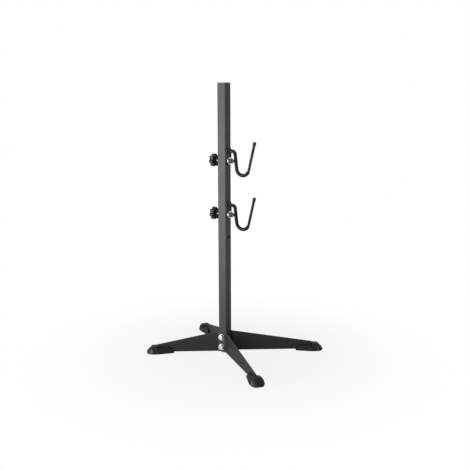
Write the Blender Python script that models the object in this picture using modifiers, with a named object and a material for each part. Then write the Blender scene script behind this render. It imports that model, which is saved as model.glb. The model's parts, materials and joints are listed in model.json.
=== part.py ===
"""Floor bike stand for the rear wheel of a bicycle.

A square steel post is bolted between two bent sheet plates. Each plate spreads into a long leg towards the
bicycle and a short leg behind it, and every leg ends in a moulded rubber boot. Two bent rod hooks hold the
bicycle by its seat stay and its chain stay. Each hook is clamped through the post by its own stud and star
knob, so that it can be turned to suit the slope of the stay.

Metres, +Z up. The hooks and the long legs point along +X. The origin is on the floor, midway between the
tips of the boots.
"""

import math

import bmesh
import bpy
from mathutils import Matrix, Vector

# Fits
GAP = 0.0003

# Post and cap
STAND_HEIGHT = 0.7195
POST_SIDE = 0.025
POST_CORNER = 0.002
POST_WALL = 0.0015
CAP_LIP = 0.0035
CAP_CROWN = 0.0006
CAP_CHAMFER = 0.0008
CAP_PLUG_DEPTH = 0.013
CAP_PLUG_WALL = 0.0020
CAP_FINS = 2
CAP_FIN = 0.0012
CAP_FIN_REACH = 0.0008
SPARE_HOLE_HEIGHT = 0.3225
SPARE_HOLE_RADIUS = 0.00425

# Leg plates
FLOOR_CLEARANCE = 0.0025
PLATE_THICKNESS = 0.003
PLATE_HEIGHT = 0.056
PLATE_BEND_X = 0.01375
PLATE_BEND_RADIUS = 0.0115
PLATE_EDGE = 0.0004
LEG_ANGLE = math.radians(36.2)
LONG_REACH = 0.250
SHORT_REACH = 0.195
LONG_FALL = 0.156
SHORT_FALL = 0.211

# Boots, measured back from the tip along the leg
BOOT_LENGTH = 0.074
BOOT_TOE = 0.030
BOOT_STEP = 0.0015
BOOT_RIDGE = 0.0138
BOOT_NOSE = 0.005
BOOT_SLANT = 0.011
BOOT_TIP_UNDERCUT = 0.002
BOOT_SIDE_HEIGHT = 0.0165
BOOT_TOE_HEIGHT = 0.0190
BOOT_NOSE_HEIGHT = 0.0110
BOOT_TIP_HEIGHT = 0.0046
BOOT_SOLE = 0.0025
BOOT_INNER_WIDTH = 0.0176
BOOT_TOE_WIDTH = 0.0366
BOOT_NOSE_WIDTH = 0.0270
BOOT_TIP_WIDTH = 0.0155
BOOT_TOP_WIDTH = 0.0120
BOOT_TOE_TOP_WIDTH = 0.0180
BOOT_NOSE_TOP_WIDTH = 0.0145
BOOT_SHOULDER_WIDTH = 0.81
BOOT_SHOULDER_HEIGHT = 0.75
BOOT_EDGE = 0.0010

# M8 fasteners
BOLT_RADIUS = 0.004
HEX_ACROSS_FLATS = 0.013
HEAD_THICKNESS = 0.0053
NUT_THICKNESS = 0.0068
WASHER_RADIUS = 0.009
WASHER_THICKNESS = 0.0016
LEG_BOLT_PITCH = 0.028
LEG_BOLT_MIDDLE = FLOOR_CLEARANCE + PLATE_HEIGHT / 2
LEG_BOLT_END = 0.003

# Hooks: the rod's centre line, seen from the side, with heights above the clamp's axis
HOOK_HEIGHTS = {"upper": 0.5225, "lower": 0.3825}
ROD_RADIUS = 0.0035
STUB_RISE = 0.0252
STUB_BEND_X = 0.0258
STUB_BEND_RADIUS = 0.0085
RUN_LEAN = math.radians(7)
RUN_LENGTH = 0.0366
U_RADIUS = 0.0191
ARM_LEAN = math.radians(14)
ARM_LENGTH = 0.0716
TAB_THICKNESS = 0.003
TAB_WIDTH = 0.021
TAB_TOP = 0.034
TAB_TOP_CORNER = 0.006
WELD_RADIUS = 0.0055
WELD_LENGTH = 0.0020

# Sleeve and tip cap
SLEEVE_WALL = 0.0007
SLEEVE_START_X = 0.0235
SLEEVE_END_TURN = math.radians(142)
TIP_CAP_LENGTH = 0.009
TIP_CAP_WALL = 0.0005
TIP_CAP_END = 0.0015

# Clamps
STUD_HOOK_END_X = 0.0315
STUD_KNOB_END_X = -0.0330
KNOB_STAND_OFF = 0.0110
KNOB_THICKNESS = 0.0125
KNOB_LOBES = 7
KNOB_RADIUS = 0.0170
KNOB_LOBE_DEPTH = 0.0034
KNOB_EDGE = 0.0013
KNOB_DOME_RADIUS = 0.0095
KNOB_DOME = 0.0009
KNOB_SKIN = 0.0030
KNOB_WALL = 0.0017
KNOB_RIB = 0.0014
KNOB_HUB_WALL = 0.0016
KNOB_POCKET_FLOOR = 0.0055
INSERT_RADIUS = 0.0055

# Facets
BEND_STEP = math.radians(12)
PLATE_BEND_STEPS = 4
ROD_BEVEL_RESOLUTION = 4
ROUND_STEPS = 24
CORNER_STEPS = 3
LOBE_STEPS = 6
POCKET_STEPS = 4

# Places that follow from the sizes
POST_HALF = POST_SIDE / 2
POST_X = -(LONG_REACH - SHORT_REACH) * math.cos(LEG_ANGLE) / 2
POST_TOP = STAND_HEIGHT - CAP_CROWN - CAP_LIP - GAP
PLATE_MIDDLE_Y = POST_HALF + GAP + PLATE_THICKNESS / 2
PLATE_OUTER_Y = PLATE_MIDDLE_Y + PLATE_THICKNESS / 2
BOLT_HOLE_RADIUS = BOLT_RADIUS + GAP
TAB_FACE_X = POST_HALF + GAP + TAB_THICKNESS
KNOB_FACE_X = -(POST_HALF + GAP + WASHER_THICKNESS + KNOB_STAND_OFF)
ALONG_X = Matrix.Rotation(math.pi / 2, 4, "Y")
ALONG_MINUS_X = Matrix.Rotation(-math.pi / 2, 4, "Y")
ALONG_Y = Matrix.Rotation(-math.pi / 2, 4, "X")
ALONG_MINUS_Y = Matrix.Rotation(math.pi / 2, 4, "X")


def clear_scene():
    for obj in list(bpy.data.objects):
        bpy.data.objects.remove(obj, do_unlink=True)


def new_collection(name):
    collection = bpy.data.collections.new(name)
    bpy.context.scene.collection.children.link(collection)
    return collection


def new_material(name, colour, roughness, metallic=0.0):
    material = bpy.data.materials.new(name)
    material.use_nodes = True
    shader = material.node_tree.nodes["Principled BSDF"]
    shader.inputs["Base Color"].default_value = (*colour, 1)
    shader.inputs["Roughness"].default_value = roughness
    shader.inputs["Metallic"].default_value = metallic
    return material


clear_scene()
STAND = new_collection("floor_bike_stand")
CUTTERS = new_collection("cutters")

PAINT = new_material("satin_black_paint", (0.020, 0.020, 0.021), 0.38)
RUBBER = new_material("black_rubber", (0.016, 0.016, 0.016), 0.55)
PLASTIC = new_material("black_plastic", (0.022, 0.022, 0.023), 0.42)
VINYL = new_material("glossy_black_vinyl", (0.010, 0.010, 0.011), 0.18)
ZINC = new_material("zinc_plated_steel", (0.62, 0.62, 0.60), 0.30, metallic=1.0)


def add(name, data, material, parent=None, matrix=None, collection=None):
    """Puts a mesh or curve in the scene as one named piece, placed in its parent's frame."""
    obj = bpy.data.objects.new(name, data)
    (collection or STAND).objects.link(obj)
    if data is not None and material is not None:
        data.materials.append(material)
    obj.parent = parent
    obj.matrix_basis = matrix or Matrix()
    return obj


def add_helper(name, data, parent=None, matrix=None):
    """A shape that cuts or joins another piece and isn't a piece itself."""
    obj = add(name, data, None, parent, matrix, CUTTERS)
    obj.hide_render = True
    obj.display_type = "WIRE"
    return obj


def add_empty(name, parent, place):
    return add(name, None, None, parent, Matrix.Translation(place))


def combine(obj, other, operation):
    modifier = obj.modifiers.new(f"{operation.lower()} {other.name}", "BOOLEAN")
    modifier.operation = operation
    modifier.object = other


def shade_round(mesh):
    """Smooth over the facets of round faces, and sharp at real edges."""
    mesh.shade_smooth()
    mesh.set_sharp_from_angle(angle=math.radians(35))


def mesh_of(name, bm):
    mesh = bpy.data.meshes.new(name)
    bmesh.ops.recalc_face_normals(bm, faces=bm.faces)
    bm.to_mesh(mesh)
    bm.free()
    shade_round(mesh)
    return mesh


def cylinder(name, radius, length, segments=ROUND_STEPS):
    """A cylinder or prism that stands on the origin, along +Z."""
    bm = bmesh.new()
    bmesh.ops.create_cone(
        bm, cap_ends=True, segments=segments, radius1=radius, radius2=radius, depth=length
    )
    bmesh.ops.translate(bm, verts=bm.verts, vec=(0, 0, length / 2))
    return mesh_of(name, bm)


def block(name, low, high):
    """A box between two corners."""
    low, high = Vector(low), Vector(high)
    bm = bmesh.new()
    bmesh.ops.create_cube(bm, size=1)
    bmesh.ops.scale(bm, verts=bm.verts, vec=high - low)
    bmesh.ops.translate(bm, verts=bm.verts, vec=(low + high) / 2)
    return mesh_of(name, bm)


def turned(obj, steps=ROUND_STEPS):
    """Revolves a profile about the object's Z axis."""
    screw = obj.modifiers.new("turn", "SCREW")
    screw.axis = "Z"
    screw.steps = steps
    screw.render_steps = steps
    screw.use_merge_vertices = True
    screw.merge_threshold = 0.00001
    screw.use_smooth_shade = True
    return obj


def profile(name, points, closed):
    """A profile in the XZ plane, as (radius, height), which runs down its outer side."""
    bm = bmesh.new()
    verts = [bm.verts.new((radius, 0, height)) for radius, height in points]
    ends = verts + verts[:1] if closed else verts
    for first, second in zip(ends, ends[1:]):
        bm.edges.new((first, second))
    mesh = bpy.data.meshes.new(name)
    bm.to_mesh(mesh)
    bm.free()
    return mesh


def ring_profile(name, inner, outer, length):
    """The profile of a plain ring that stands on the origin."""
    return profile(name, [(outer, length), (outer, 0), (inner, 0), (inner, length)], closed=True)


class Path:
    """A path in a plane, made like a bent bar: each run or bend starts where the last one ends."""

    def __init__(self, start, heading=0.0):
        self.points = [Vector(start)]
        self.heading = heading

    def direction(self):
        return Vector((math.cos(self.heading), math.sin(self.heading)))

    def run(self, length):
        self.points.append(self.points[-1] + length * self.direction())
        return self

    def bend(self, radius, angle, steps=None):
        """Turns through an angle, to the left where it is positive."""
        side = math.copysign(radius, angle)
        start = self.points[-1]
        centre = start + side * Vector((-self.direction().y, self.direction().x))
        steps = steps or max(2, round(abs(angle) / BEND_STEP))
        for step in range(1, steps + 1):
            self.points.append(centre + Matrix.Rotation(angle * step / steps, 2) @ (start - centre))
        self.heading += angle
        return self


def rounded_square(half, corner):
    """The outline of a square with round corners, anticlockwise."""
    path = Path((half, corner - half), math.pi / 2)
    for _ in range(4):
        path.run(2 * (half - corner)).bend(corner, math.pi / 2, CORNER_STEPS)
    return path.points[:-1]


def flat_outline(name, outlines, thickness):
    """A flat plate on the XY plane, centred on it, with an outer outline and any holes."""
    curve = bpy.data.curves.new(name, "CURVE")
    curve.dimensions = "2D"
    curve.fill_mode = "BOTH"
    curve.extrude = thickness / 2
    for outline in outlines:
        spline = curve.splines.new("POLY")
        spline.points.add(len(outline) - 1)
        for point, place in zip(spline.points, outline):
            point.co = (place[0], place[1], 0, 1)
        spline.use_cyclic_u = True
    return curve


def rod_curve(name, points, radius, capped=True):
    """A round rod along points in the XZ plane."""
    curve = bpy.data.curves.new(name, "CURVE")
    curve.dimensions = "3D"
    curve.bevel_depth = radius
    curve.bevel_resolution = ROD_BEVEL_RESOLUTION
    curve.use_fill_caps = capped
    spline = curve.splines.new("POLY")
    spline.points.add(len(points) - 1)
    for point, place in zip(spline.points, points):
        point.co = (place.x, 0, place.y, 1)
    return curve


def as_mesh(curve):
    """The curve's surface as a mesh with its caps welded on, for a piece that is cut or joined."""
    temporary = bpy.data.objects.new(curve.name, curve)
    CUTTERS.objects.link(temporary)
    bpy.context.view_layer.update()
    evaluated = temporary.evaluated_get(bpy.context.evaluated_depsgraph_get())
    mesh = bpy.data.meshes.new_from_object(evaluated)
    bpy.data.objects.remove(temporary)
    bm = bmesh.new()
    bm.from_mesh(mesh)
    bmesh.ops.remove_doubles(bm, verts=bm.verts, dist=0.00001)
    bm.to_mesh(mesh)
    bm.free()
    shade_round(mesh)
    return mesh


def loft(name, sections, closed_sections):
    """Faces between sections with the same number of points, and across the first and the last."""
    bm = bmesh.new()
    rings = [[bm.verts.new(point) for point in section] for section in sections]
    for ring, following in zip(rings, rings[1:]):
        count = len(ring) if closed_sections else len(ring) - 1
        for index in range(count):
            after = (index + 1) % len(ring)
            bm.faces.new((ring[index], ring[after], following[after], following[index]))
    bm.faces.new(rings[0])
    bm.faces.new(rings[-1])
    return mesh_of(name, bm)


def make_post(stand):
    """The square tube, with a pair of holes for each leg bolt and each clamp and one spare pair."""
    outline = flat_outline(
        "post_tube",
        [
            rounded_square(POST_HALF, POST_CORNER),
            rounded_square(POST_HALF - POST_WALL, max(POST_CORNER - POST_WALL, POST_WALL / 4)),
        ],
        POST_TOP - FLOOR_CLEARANCE,
    )
    middle = (POST_TOP + FLOOR_CLEARANCE) / 2
    post = add("post_tube", as_mesh(outline), PAINT, stand, Matrix.Translation((0, 0, middle)))
    through = 2 * POST_SIDE
    holes = [(f"leg_bolt_hole_{name}", z, BOLT_HOLE_RADIUS, ALONG_Y) for name, z in leg_bolt_heights()]
    holes += [
        (f"{name}_clamp_hole", z, BOLT_HOLE_RADIUS, ALONG_X) for name, z in HOOK_HEIGHTS.items()
    ]
    holes += [("spare_hole", SPARE_HOLE_HEIGHT, SPARE_HOLE_RADIUS, ALONG_X)]
    for name, height, radius, axis in holes:
        place = Matrix.Translation((0, 0, height)) @ axis @ Matrix.Translation((0, 0, -through / 2))
        drill = add_helper(name, cylinder(name, radius, through), stand, place)
        combine(post, drill, "DIFFERENCE")


def make_cap(stand):
    """The plastic end cap: a low crowned lip, and a hollow plug with fins that grip inside the tube."""
    reach = POST_HALF - POST_WALL - GAP
    core = reach - CAP_FIN_REACH
    hollow = core - CAP_PLUG_WALL
    corner = POST_CORNER - POST_WALL
    rings = [(-CAP_LIP / 4, hollow), (-CAP_PLUG_DEPTH, hollow), (-CAP_PLUG_DEPTH, core)]
    spacing = CAP_PLUG_DEPTH / (CAP_FINS + 1)
    for fin in range(CAP_FINS):
        low = spacing * (fin + 1) - CAP_PLUG_DEPTH - CAP_FIN / 2
        rings += [(low, core), (low, reach), (low + CAP_FIN, reach), (low + CAP_FIN, core)]
    rings += [(0, core), (0, POST_HALF), (CAP_LIP - CAP_CHAMFER, POST_HALF)]
    rings += [(CAP_LIP, POST_HALF - CAP_CHAMFER), (CAP_LIP + CAP_CROWN, POST_HALF / 2)]
    sections = []
    for height, half in rings:
        round_corner = POST_CORNER if half > reach else max(corner, POST_WALL / 4)
        sections.append([(x, y, height) for x, y in rounded_square(half, round_corner)])
    mesh = loft("post_cap", sections, closed_sections=True)
    add("post_cap", mesh, PLASTIC, stand, Matrix.Translation((0, 0, POST_TOP + GAP)))


def leg_bolt_heights():
    half = LEG_BOLT_PITCH / 2
    return [("upper", LEG_BOLT_MIDDLE + half), ("lower", LEG_BOLT_MIDDLE - half)]


def leg_stations(reach, fall):
    """Half of a plate, from the post's axis outwards: plan position and the height of the top edge."""
    tangent = PLATE_BEND_RADIUS * math.tan(LEG_ANGLE / 2)
    path = Path((0, 0)).run(PLATE_BEND_X - tangent).bend(PLATE_BEND_RADIUS, LEG_ANGLE, PLATE_BEND_STEPS)
    path.run(reach - BOOT_TOE - tangent)
    bend = 2 * PLATE_BEND_STEPS
    falls = [0, 0] + [
        fall * tangent * (2 * step / bend) ** 2 for step in range(1, PLATE_BEND_STEPS + 1)
    ]
    falls.append(fall * (reach - BOOT_TOE))
    return [(point.x, point.y, PLATE_HEIGHT - drop) for point, drop in zip(path.points, falls)]


def make_leg_plate(name, side, stand):
    """One sheet, bent into a flange on the post and two legs that fall towards their ends."""
    long_half = leg_stations(LONG_REACH, LONG_FALL)
    short_half = [(-x, y, height) for x, y, height in leg_stations(SHORT_REACH, SHORT_FALL)]
    bm = bmesh.new()
    columns = []
    for x, y, height in short_half[:0:-1] + long_half:
        place_y = side * (PLATE_MIDDLE_Y + y)
        low = bm.verts.new((x, place_y, FLOOR_CLEARANCE))
        columns.append((low, bm.verts.new((x, place_y, FLOOR_CLEARANCE + height))))
    for (low, high), (next_low, next_high) in zip(columns, columns[1:]):
        bm.faces.new((low, next_low, next_high, high))
    plate = add(name, mesh_of(name, bm), PAINT, stand)
    sheet = plate.modifiers.new("sheet", "SOLIDIFY")
    sheet.thickness = PLATE_THICKNESS
    sheet.offset = 0
    sheet.use_even_offset = True
    edges = plate.modifiers.new("edges", "BEVEL")
    edges.width = PLATE_EDGE
    edges.segments = 1
    edges.limit_method = "ANGLE"
    edges.angle_limit = math.radians(60)
    for level, height in leg_bolt_heights():
        drill_name = f"{name}_{level}_drill"
        depth = 4 * PLATE_THICKNESS
        place = Matrix.Translation((0, side * PLATE_MIDDLE_Y - depth / 2, height)) @ ALONG_Y
        drill = add_helper(drill_name, cylinder(drill_name, BOLT_HOLE_RADIUS, depth), stand, place)
        combine(plate, drill, "DIFFERENCE")


def boot_section(back, width, top_width, height, slant=0.0, undercut=0.0):
    """Half of a boot's section, from the middle of its sole to the middle of its top."""
    return [
        (-back - undercut, 0, 0),
        (-back - undercut, (width - BOOT_SOLE) / 2, 0),
        (-back, width / 2, BOOT_SOLE),
        (slant * BOOT_SHOULDER_HEIGHT - back, width / 2 * BOOT_SHOULDER_WIDTH, height * BOOT_SHOULDER_HEIGHT),
        (slant - back, top_width / 2, height),
        (slant - back, 0, height),
    ]


def boot_mesh():
    """The moulded boot. Its tip is at the origin, and the leg comes in from -X.

    Its sides rise from a broad sole to a shoulder, and slope in from there to the leg. They stop short of
    the leg's top edge. The toe stands higher, closes the leg's end, and falls forward to a round nose."""
    sections = [
        boot_section(BOOT_LENGTH, BOOT_INNER_WIDTH, BOOT_TOP_WIDTH, BOOT_SIDE_HEIGHT, slant=BOOT_SLANT),
        boot_section(BOOT_TOE, BOOT_TOE_WIDTH, BOOT_TOP_WIDTH, BOOT_SIDE_HEIGHT),
        boot_section(BOOT_TOE - BOOT_STEP, BOOT_TOE_WIDTH, BOOT_TOE_TOP_WIDTH, BOOT_TOE_HEIGHT),
        boot_section(BOOT_RIDGE, BOOT_TOE_WIDTH, BOOT_TOE_TOP_WIDTH, BOOT_TOE_HEIGHT),
        boot_section(BOOT_NOSE, BOOT_NOSE_WIDTH, BOOT_NOSE_TOP_WIDTH, BOOT_NOSE_HEIGHT),
        boot_section(0, BOOT_TIP_WIDTH, BOOT_TIP_WIDTH, BOOT_TIP_HEIGHT, undercut=BOOT_TIP_UNDERCUT),
    ]
    return loft("boot", sections, closed_sections=False)


def make_boot(name, reach, side, heading, stand):
    """A boot on one leg, with a slot that the end of the plate stands in."""
    along = math.copysign(1, math.cos(heading))
    corner = Vector((along * PLATE_BEND_X, side * PLATE_MIDDLE_Y, 0))
    tip = corner + reach * Vector((math.cos(heading), math.sin(heading), 0))
    matrix = Matrix.Translation(tip) @ Matrix.Rotation(heading, 4, "Z")
    boot = add(name, boot_mesh(), RUBBER, stand, matrix)
    mirror = boot.modifiers.new("halves", "MIRROR")
    mirror.use_axis = (False, True, False)
    mirror.use_mirror_merge = True
    mirror.merge_threshold = 0.00001
    edges = boot.modifiers.new("edges", "BEVEL")
    edges.width = BOOT_EDGE
    edges.segments = 1
    edges.limit_method = "ANGLE"
    edges.angle_limit = math.radians(25)
    half = PLATE_THICKNESS / 2 + GAP
    low = (-2 * BOOT_LENGTH, -half, FLOOR_CLEARANCE - GAP)
    slot = block(f"{name}_slot", low, (GAP - BOOT_TOE, half, PLATE_HEIGHT))
    combine(boot, add_helper(f"{name}_slot", slot, stand, matrix), "DIFFERENCE")


def hexagon(name, thickness, chamfered_below):
    """A hexagon that stands on the origin, with its corners turned off on the top and perhaps below."""
    corner_radius = HEX_ACROSS_FLATS / math.sqrt(3)
    chamfer = (corner_radius - HEX_ACROSS_FLATS / 2) * math.tan(math.radians(30))
    below = [(corner_radius, chamfer), (HEX_ACROSS_FLATS / 2, 0)] if chamfered_below else [(corner_radius, 0)]
    turning = [(0, thickness), (HEX_ACROSS_FLATS / 2, thickness), (corner_radius, thickness - chamfer)]
    round_off = turned(add_helper(f"{name}_round", profile(name, turning + below + [(0, 0)], closed=False)))
    return cylinder(name, corner_radius, thickness, segments=6), round_off


def add_hexagon(name, parent, matrix, thickness, chamfered_below):
    mesh, round_off = hexagon(name, thickness, chamfered_below)
    obj = add(name, mesh, ZINC, parent, matrix)
    round_off.parent = parent
    round_off.matrix_basis = matrix
    combine(obj, round_off, "INTERSECT")
    return obj


def make_washer(name, parent, matrix):
    """A flat washer that stands on the matrix's origin."""
    ring = ring_profile(name, BOLT_HOLE_RADIUS, WASHER_RADIUS, WASHER_THICKNESS)
    turned(add(name, ring, ZINC, parent, matrix))


def make_nut(name, parent, matrix):
    """A hexagon nut. Its bore clears the thread by the gap."""
    nut = add_hexagon(name, parent, matrix, NUT_THICKNESS, chamfered_below=True)
    bore_name = f"{name}_bore"
    place = matrix @ Matrix.Translation((0, 0, -NUT_THICKNESS / 2))
    bore = add_helper(bore_name, cylinder(bore_name, BOLT_HOLE_RADIUS, 2 * NUT_THICKNESS), parent, place)
    combine(nut, bore, "DIFFERENCE")


def make_leg_bolt(level, height, stand):
    """A bolt through both flanges and the post, with a washer under its head and under its nut."""
    centre = Matrix.Translation((0, 0, height))
    washer_y = PLATE_OUTER_Y + GAP
    seat_y = washer_y + WASHER_THICKNESS + GAP
    near = centre @ ALONG_MINUS_Y
    far = centre @ ALONG_Y
    make_washer(f"leg_washer_head_{level}", stand, near @ Matrix.Translation((0, 0, washer_y)))
    make_washer(f"leg_washer_nut_{level}", stand, far @ Matrix.Translation((0, 0, washer_y)))
    make_nut(f"leg_nut_{level}", stand, far @ Matrix.Translation((0, 0, seat_y)))
    head_place = near @ Matrix.Translation((0, 0, seat_y))
    name = f"leg_bolt_{level}"
    bolt = add_hexagon(name, stand, head_place, HEAD_THICKNESS, chamfered_below=False)
    inside_head = HEAD_THICKNESS / 2
    length = inside_head + 2 * seat_y + NUT_THICKNESS + LEG_BOLT_END
    place = head_place @ Matrix.Translation((0, 0, inside_head)) @ Matrix.Rotation(math.pi, 4, "X")
    shank = add_helper(f"{name}_shank", cylinder(f"{name}_shank", BOLT_RADIUS, length), stand, place)
    combine(bolt, shank, "UNION")


def hook_path(start_x, u_turn, arm_length=None):
    """The rod's centre line from a point on its stub. It stops after a part of the U, or after the arm."""
    path = Path((start_x, STUB_RISE)).run(STUB_BEND_X - start_x)
    path.bend(STUB_BEND_RADIUS, RUN_LEAN - math.pi / 2).run(RUN_LENGTH).bend(U_RADIUS, u_turn)
    return path.run(arm_length) if arm_length else path


def full_hook_path():
    return hook_path(TAB_FACE_X - TAB_THICKNESS / 2, math.pi - RUN_LEAN - ARM_LEAN, ARM_LENGTH)


def tab_outline():
    """The tab's outline about the clamp's axis: round below, with two round corners on top."""
    half = TAB_WIDTH / 2
    top_width = TAB_WIDTH - 2 * TAB_TOP_CORNER
    path = Path((half, 0), math.pi / 2).run(TAB_TOP - TAB_TOP_CORNER)
    path.bend(TAB_TOP_CORNER, math.pi / 2, CORNER_STEPS).run(top_width)
    path.bend(TAB_TOP_CORNER, math.pi / 2, CORNER_STEPS).run(TAB_TOP - TAB_TOP_CORNER)
    path.bend(half, math.pi, ROUND_STEPS // 2)
    return path.points[:-1]


def make_hook(name, pivot):
    """The bent rod, welded to a flat tab that lies on the post."""
    rod = as_mesh(rod_curve(name, full_hook_path().points, ROD_RADIUS))
    hook = add(name, rod, PAINT, pivot)
    tab_middle = TAB_FACE_X - TAB_THICKNESS / 2
    facing = Matrix.Translation((tab_middle, 0, 0)) @ Matrix(((0, 0, 1), (1, 0, 0), (0, 1, 0))).to_4x4()
    tab = as_mesh(flat_outline(f"{name}_tab", [tab_outline()], TAB_THICKNESS))
    combine(hook, add_helper(f"{name}_tab", tab, pivot, facing), "UNION")
    weld_points = [(0, WELD_LENGTH), (ROD_RADIUS, WELD_LENGTH), (WELD_RADIUS, 0)]
    weld_points += [(WELD_RADIUS, -TAB_THICKNESS / 2), (0, -TAB_THICKNESS / 2)]
    weld = profile(f"{name}_weld", weld_points, closed=False)
    weld_place = Matrix.Translation((TAB_FACE_X, 0, STUB_RISE)) @ ALONG_X
    combine(hook, turned(add_helper(f"{name}_weld", weld, pivot, weld_place), ROUND_STEPS // 2), "UNION")
    drill = cylinder(f"{name}_drill", BOLT_HOLE_RADIUS, 2 * TAB_FACE_X)
    combine(hook, add_helper(f"{name}_drill", drill, pivot, ALONG_X), "DIFFERENCE")


def make_sleeve(name, pivot):
    """The vinyl tube that guards the frame, over the stub, the run and most of the U."""
    middle_radius = ROD_RADIUS + GAP + SLEEVE_WALL / 2
    points = hook_path(SLEEVE_START_X, SLEEVE_END_TURN).points
    sleeve = add(name, as_mesh(rod_curve(name, points, middle_radius, capped=False)), VINYL, pivot)
    wall = sleeve.modifiers.new("wall", "SOLIDIFY")
    wall.thickness = SLEEVE_WALL
    wall.offset = 0


def make_tip_cap(name, pivot):
    """The round-ended cap over the arm's end."""
    path = full_hook_path()
    bore = ROD_RADIUS + GAP
    outer = bore + TIP_CAP_WALL
    end = GAP + TIP_CAP_END
    skirt = end - TIP_CAP_LENGTH
    points = [(0, end), (outer * 0.55, end - TIP_CAP_END * 0.2), (outer * 0.88, end - TIP_CAP_END * 0.75)]
    points += [(outer, end - TIP_CAP_END * 1.6), (outer, skirt), (bore, skirt), (bore, GAP), (0, GAP)]
    tip = path.points[-1]
    lean = Matrix.Rotation(math.pi / 2 - path.heading, 4, "Y")
    place = Matrix.Translation((tip.x, 0, tip.y)) @ lean
    turned(add(name, profile(name, points, closed=False), PLASTIC, pivot, place))


def make_clamp_fasteners(level, pivot):
    """On the hook's side: a washer on the tab, a nut, and the stud that runs through to the knob."""
    washer_x = TAB_FACE_X + GAP
    nut_x = washer_x + WASHER_THICKNESS + GAP
    make_washer(f"{level}_clamp_washer", pivot, Matrix.Translation((washer_x, 0, 0)) @ ALONG_X)
    make_nut(f"{level}_clamp_nut", pivot, Matrix.Translation((nut_x, 0, 0)) @ ALONG_X)
    name = f"{level}_clamp_stud"
    length = STUD_HOOK_END_X - STUD_KNOB_END_X
    chamfer = BOLT_RADIUS / 6
    points = [(0, length), (BOLT_RADIUS - chamfer, length), (BOLT_RADIUS, length - chamfer)]
    points += [(BOLT_RADIUS, chamfer), (BOLT_RADIUS - chamfer, 0), (0, 0)]
    place = Matrix.Translation((STUD_KNOB_END_X, 0, 0)) @ ALONG_X
    turned(add(name, profile(name, points, closed=False), ZINC, pivot, place))


def knob_point(angle, inset):
    """A point of the lobed outline, moved inwards."""
    radius = KNOB_RADIUS - KNOB_LOBE_DEPTH / 2 * (1 - math.cos(KNOB_LOBES * angle)) - inset
    return (radius * math.cos(angle), radius * math.sin(angle))


def knob_outline():
    """The lobed outline, drawn inside its edge radius, which the curve's bevel adds again."""
    count = KNOB_LOBES * LOBE_STEPS
    return [knob_point(2 * math.pi * index / count, KNOB_EDGE) for index in range(count)]


def pocket_outline(lobe):
    """The pocket in the back of one lobe, between two ribs, the hub and the lobe's wall."""
    middle = 2 * math.pi * lobe / KNOB_LOBES
    hub = INSERT_RADIUS + GAP + KNOB_HUB_WALL
    valley = KNOB_RADIUS - KNOB_LOBE_DEPTH - KNOB_WALL
    reach = math.pi / KNOB_LOBES - math.asin(KNOB_RIB / 2 / valley)
    turns = [reach * (2 * step / POCKET_STEPS - 1) for step in range(POCKET_STEPS + 1)]
    points = [knob_point(middle + turn, KNOB_WALL) for turn in turns]
    inner_reach = math.pi / KNOB_LOBES - math.asin(KNOB_RIB / 2 / hub)
    for turn in (inner_reach, -inner_reach):
        points.append((hub * math.cos(middle + turn), hub * math.sin(middle + turn)))
    return points


def make_knob(level, pivot):
    """The star knob: lobed, with a low dome outside, a blind hole for its threaded metal insert, and a back
    that is cored out between ribs."""
    name = f"{level}_knob"
    curve = flat_outline(name, [knob_outline()], KNOB_THICKNESS - 2 * KNOB_EDGE)
    curve.bevel_depth = KNOB_EDGE
    curve.bevel_resolution = 1
    middle_x = KNOB_FACE_X - KNOB_THICKNESS / 2
    place = Matrix.Translation((middle_x, 0, 0)) @ ALONG_MINUS_X
    knob = add(name, as_mesh(curve), PLASTIC, pivot, place)
    outside = KNOB_THICKNESS / 2
    dome_points = [(0, outside + KNOB_DOME), (KNOB_DOME_RADIUS / 2, outside + KNOB_DOME * 0.75)]
    dome_points += [(KNOB_DOME_RADIUS, outside), (KNOB_DOME_RADIUS, 0), (0, 0)]
    dome = profile(f"{name}_dome", dome_points, closed=False)
    combine(knob, turned(add_helper(f"{name}_dome", dome, pivot, place)), "UNION")
    depth = KNOB_THICKNESS - KNOB_SKIN
    bore = cylinder(f"{name}_bore", INSERT_RADIUS + GAP, 2 * depth)
    bore_place = Matrix.Translation((KNOB_FACE_X + depth, 0, 0)) @ ALONG_MINUS_X
    combine(knob, add_helper(f"{name}_bore", bore, pivot, bore_place), "DIFFERENCE")
    pockets_name = f"{name}_pockets"
    outlines = [pocket_outline(lobe) for lobe in range(KNOB_LOBES)]
    pockets = as_mesh(flat_outline(pockets_name, outlines, 2 * (KNOB_THICKNESS - KNOB_POCKET_FLOOR)))
    pockets_place = Matrix.Translation((KNOB_FACE_X, 0, 0)) @ ALONG_MINUS_X
    combine(knob, add_helper(pockets_name, pockets, pivot, pockets_place), "DIFFERENCE")

    insert_name = f"{level}_knob_insert"
    insert_start = -(POST_HALF + 2 * GAP + WASHER_THICKNESS + GAP)
    insert_end = KNOB_FACE_X - depth + GAP
    ring = ring_profile(insert_name, BOLT_HOLE_RADIUS, INSERT_RADIUS, insert_start - insert_end)
    turned(add(insert_name, ring, ZINC, pivot, Matrix.Translation((insert_end, 0, 0)) @ ALONG_X))


def make_knob_washer(level, pivot):
    """The washer between the post and the knob's insert."""
    place = Matrix.Translation((-(POST_HALF + GAP), 0, 0)) @ ALONG_MINUS_X
    make_washer(f"{level}_knob_washer", pivot, place)


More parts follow.
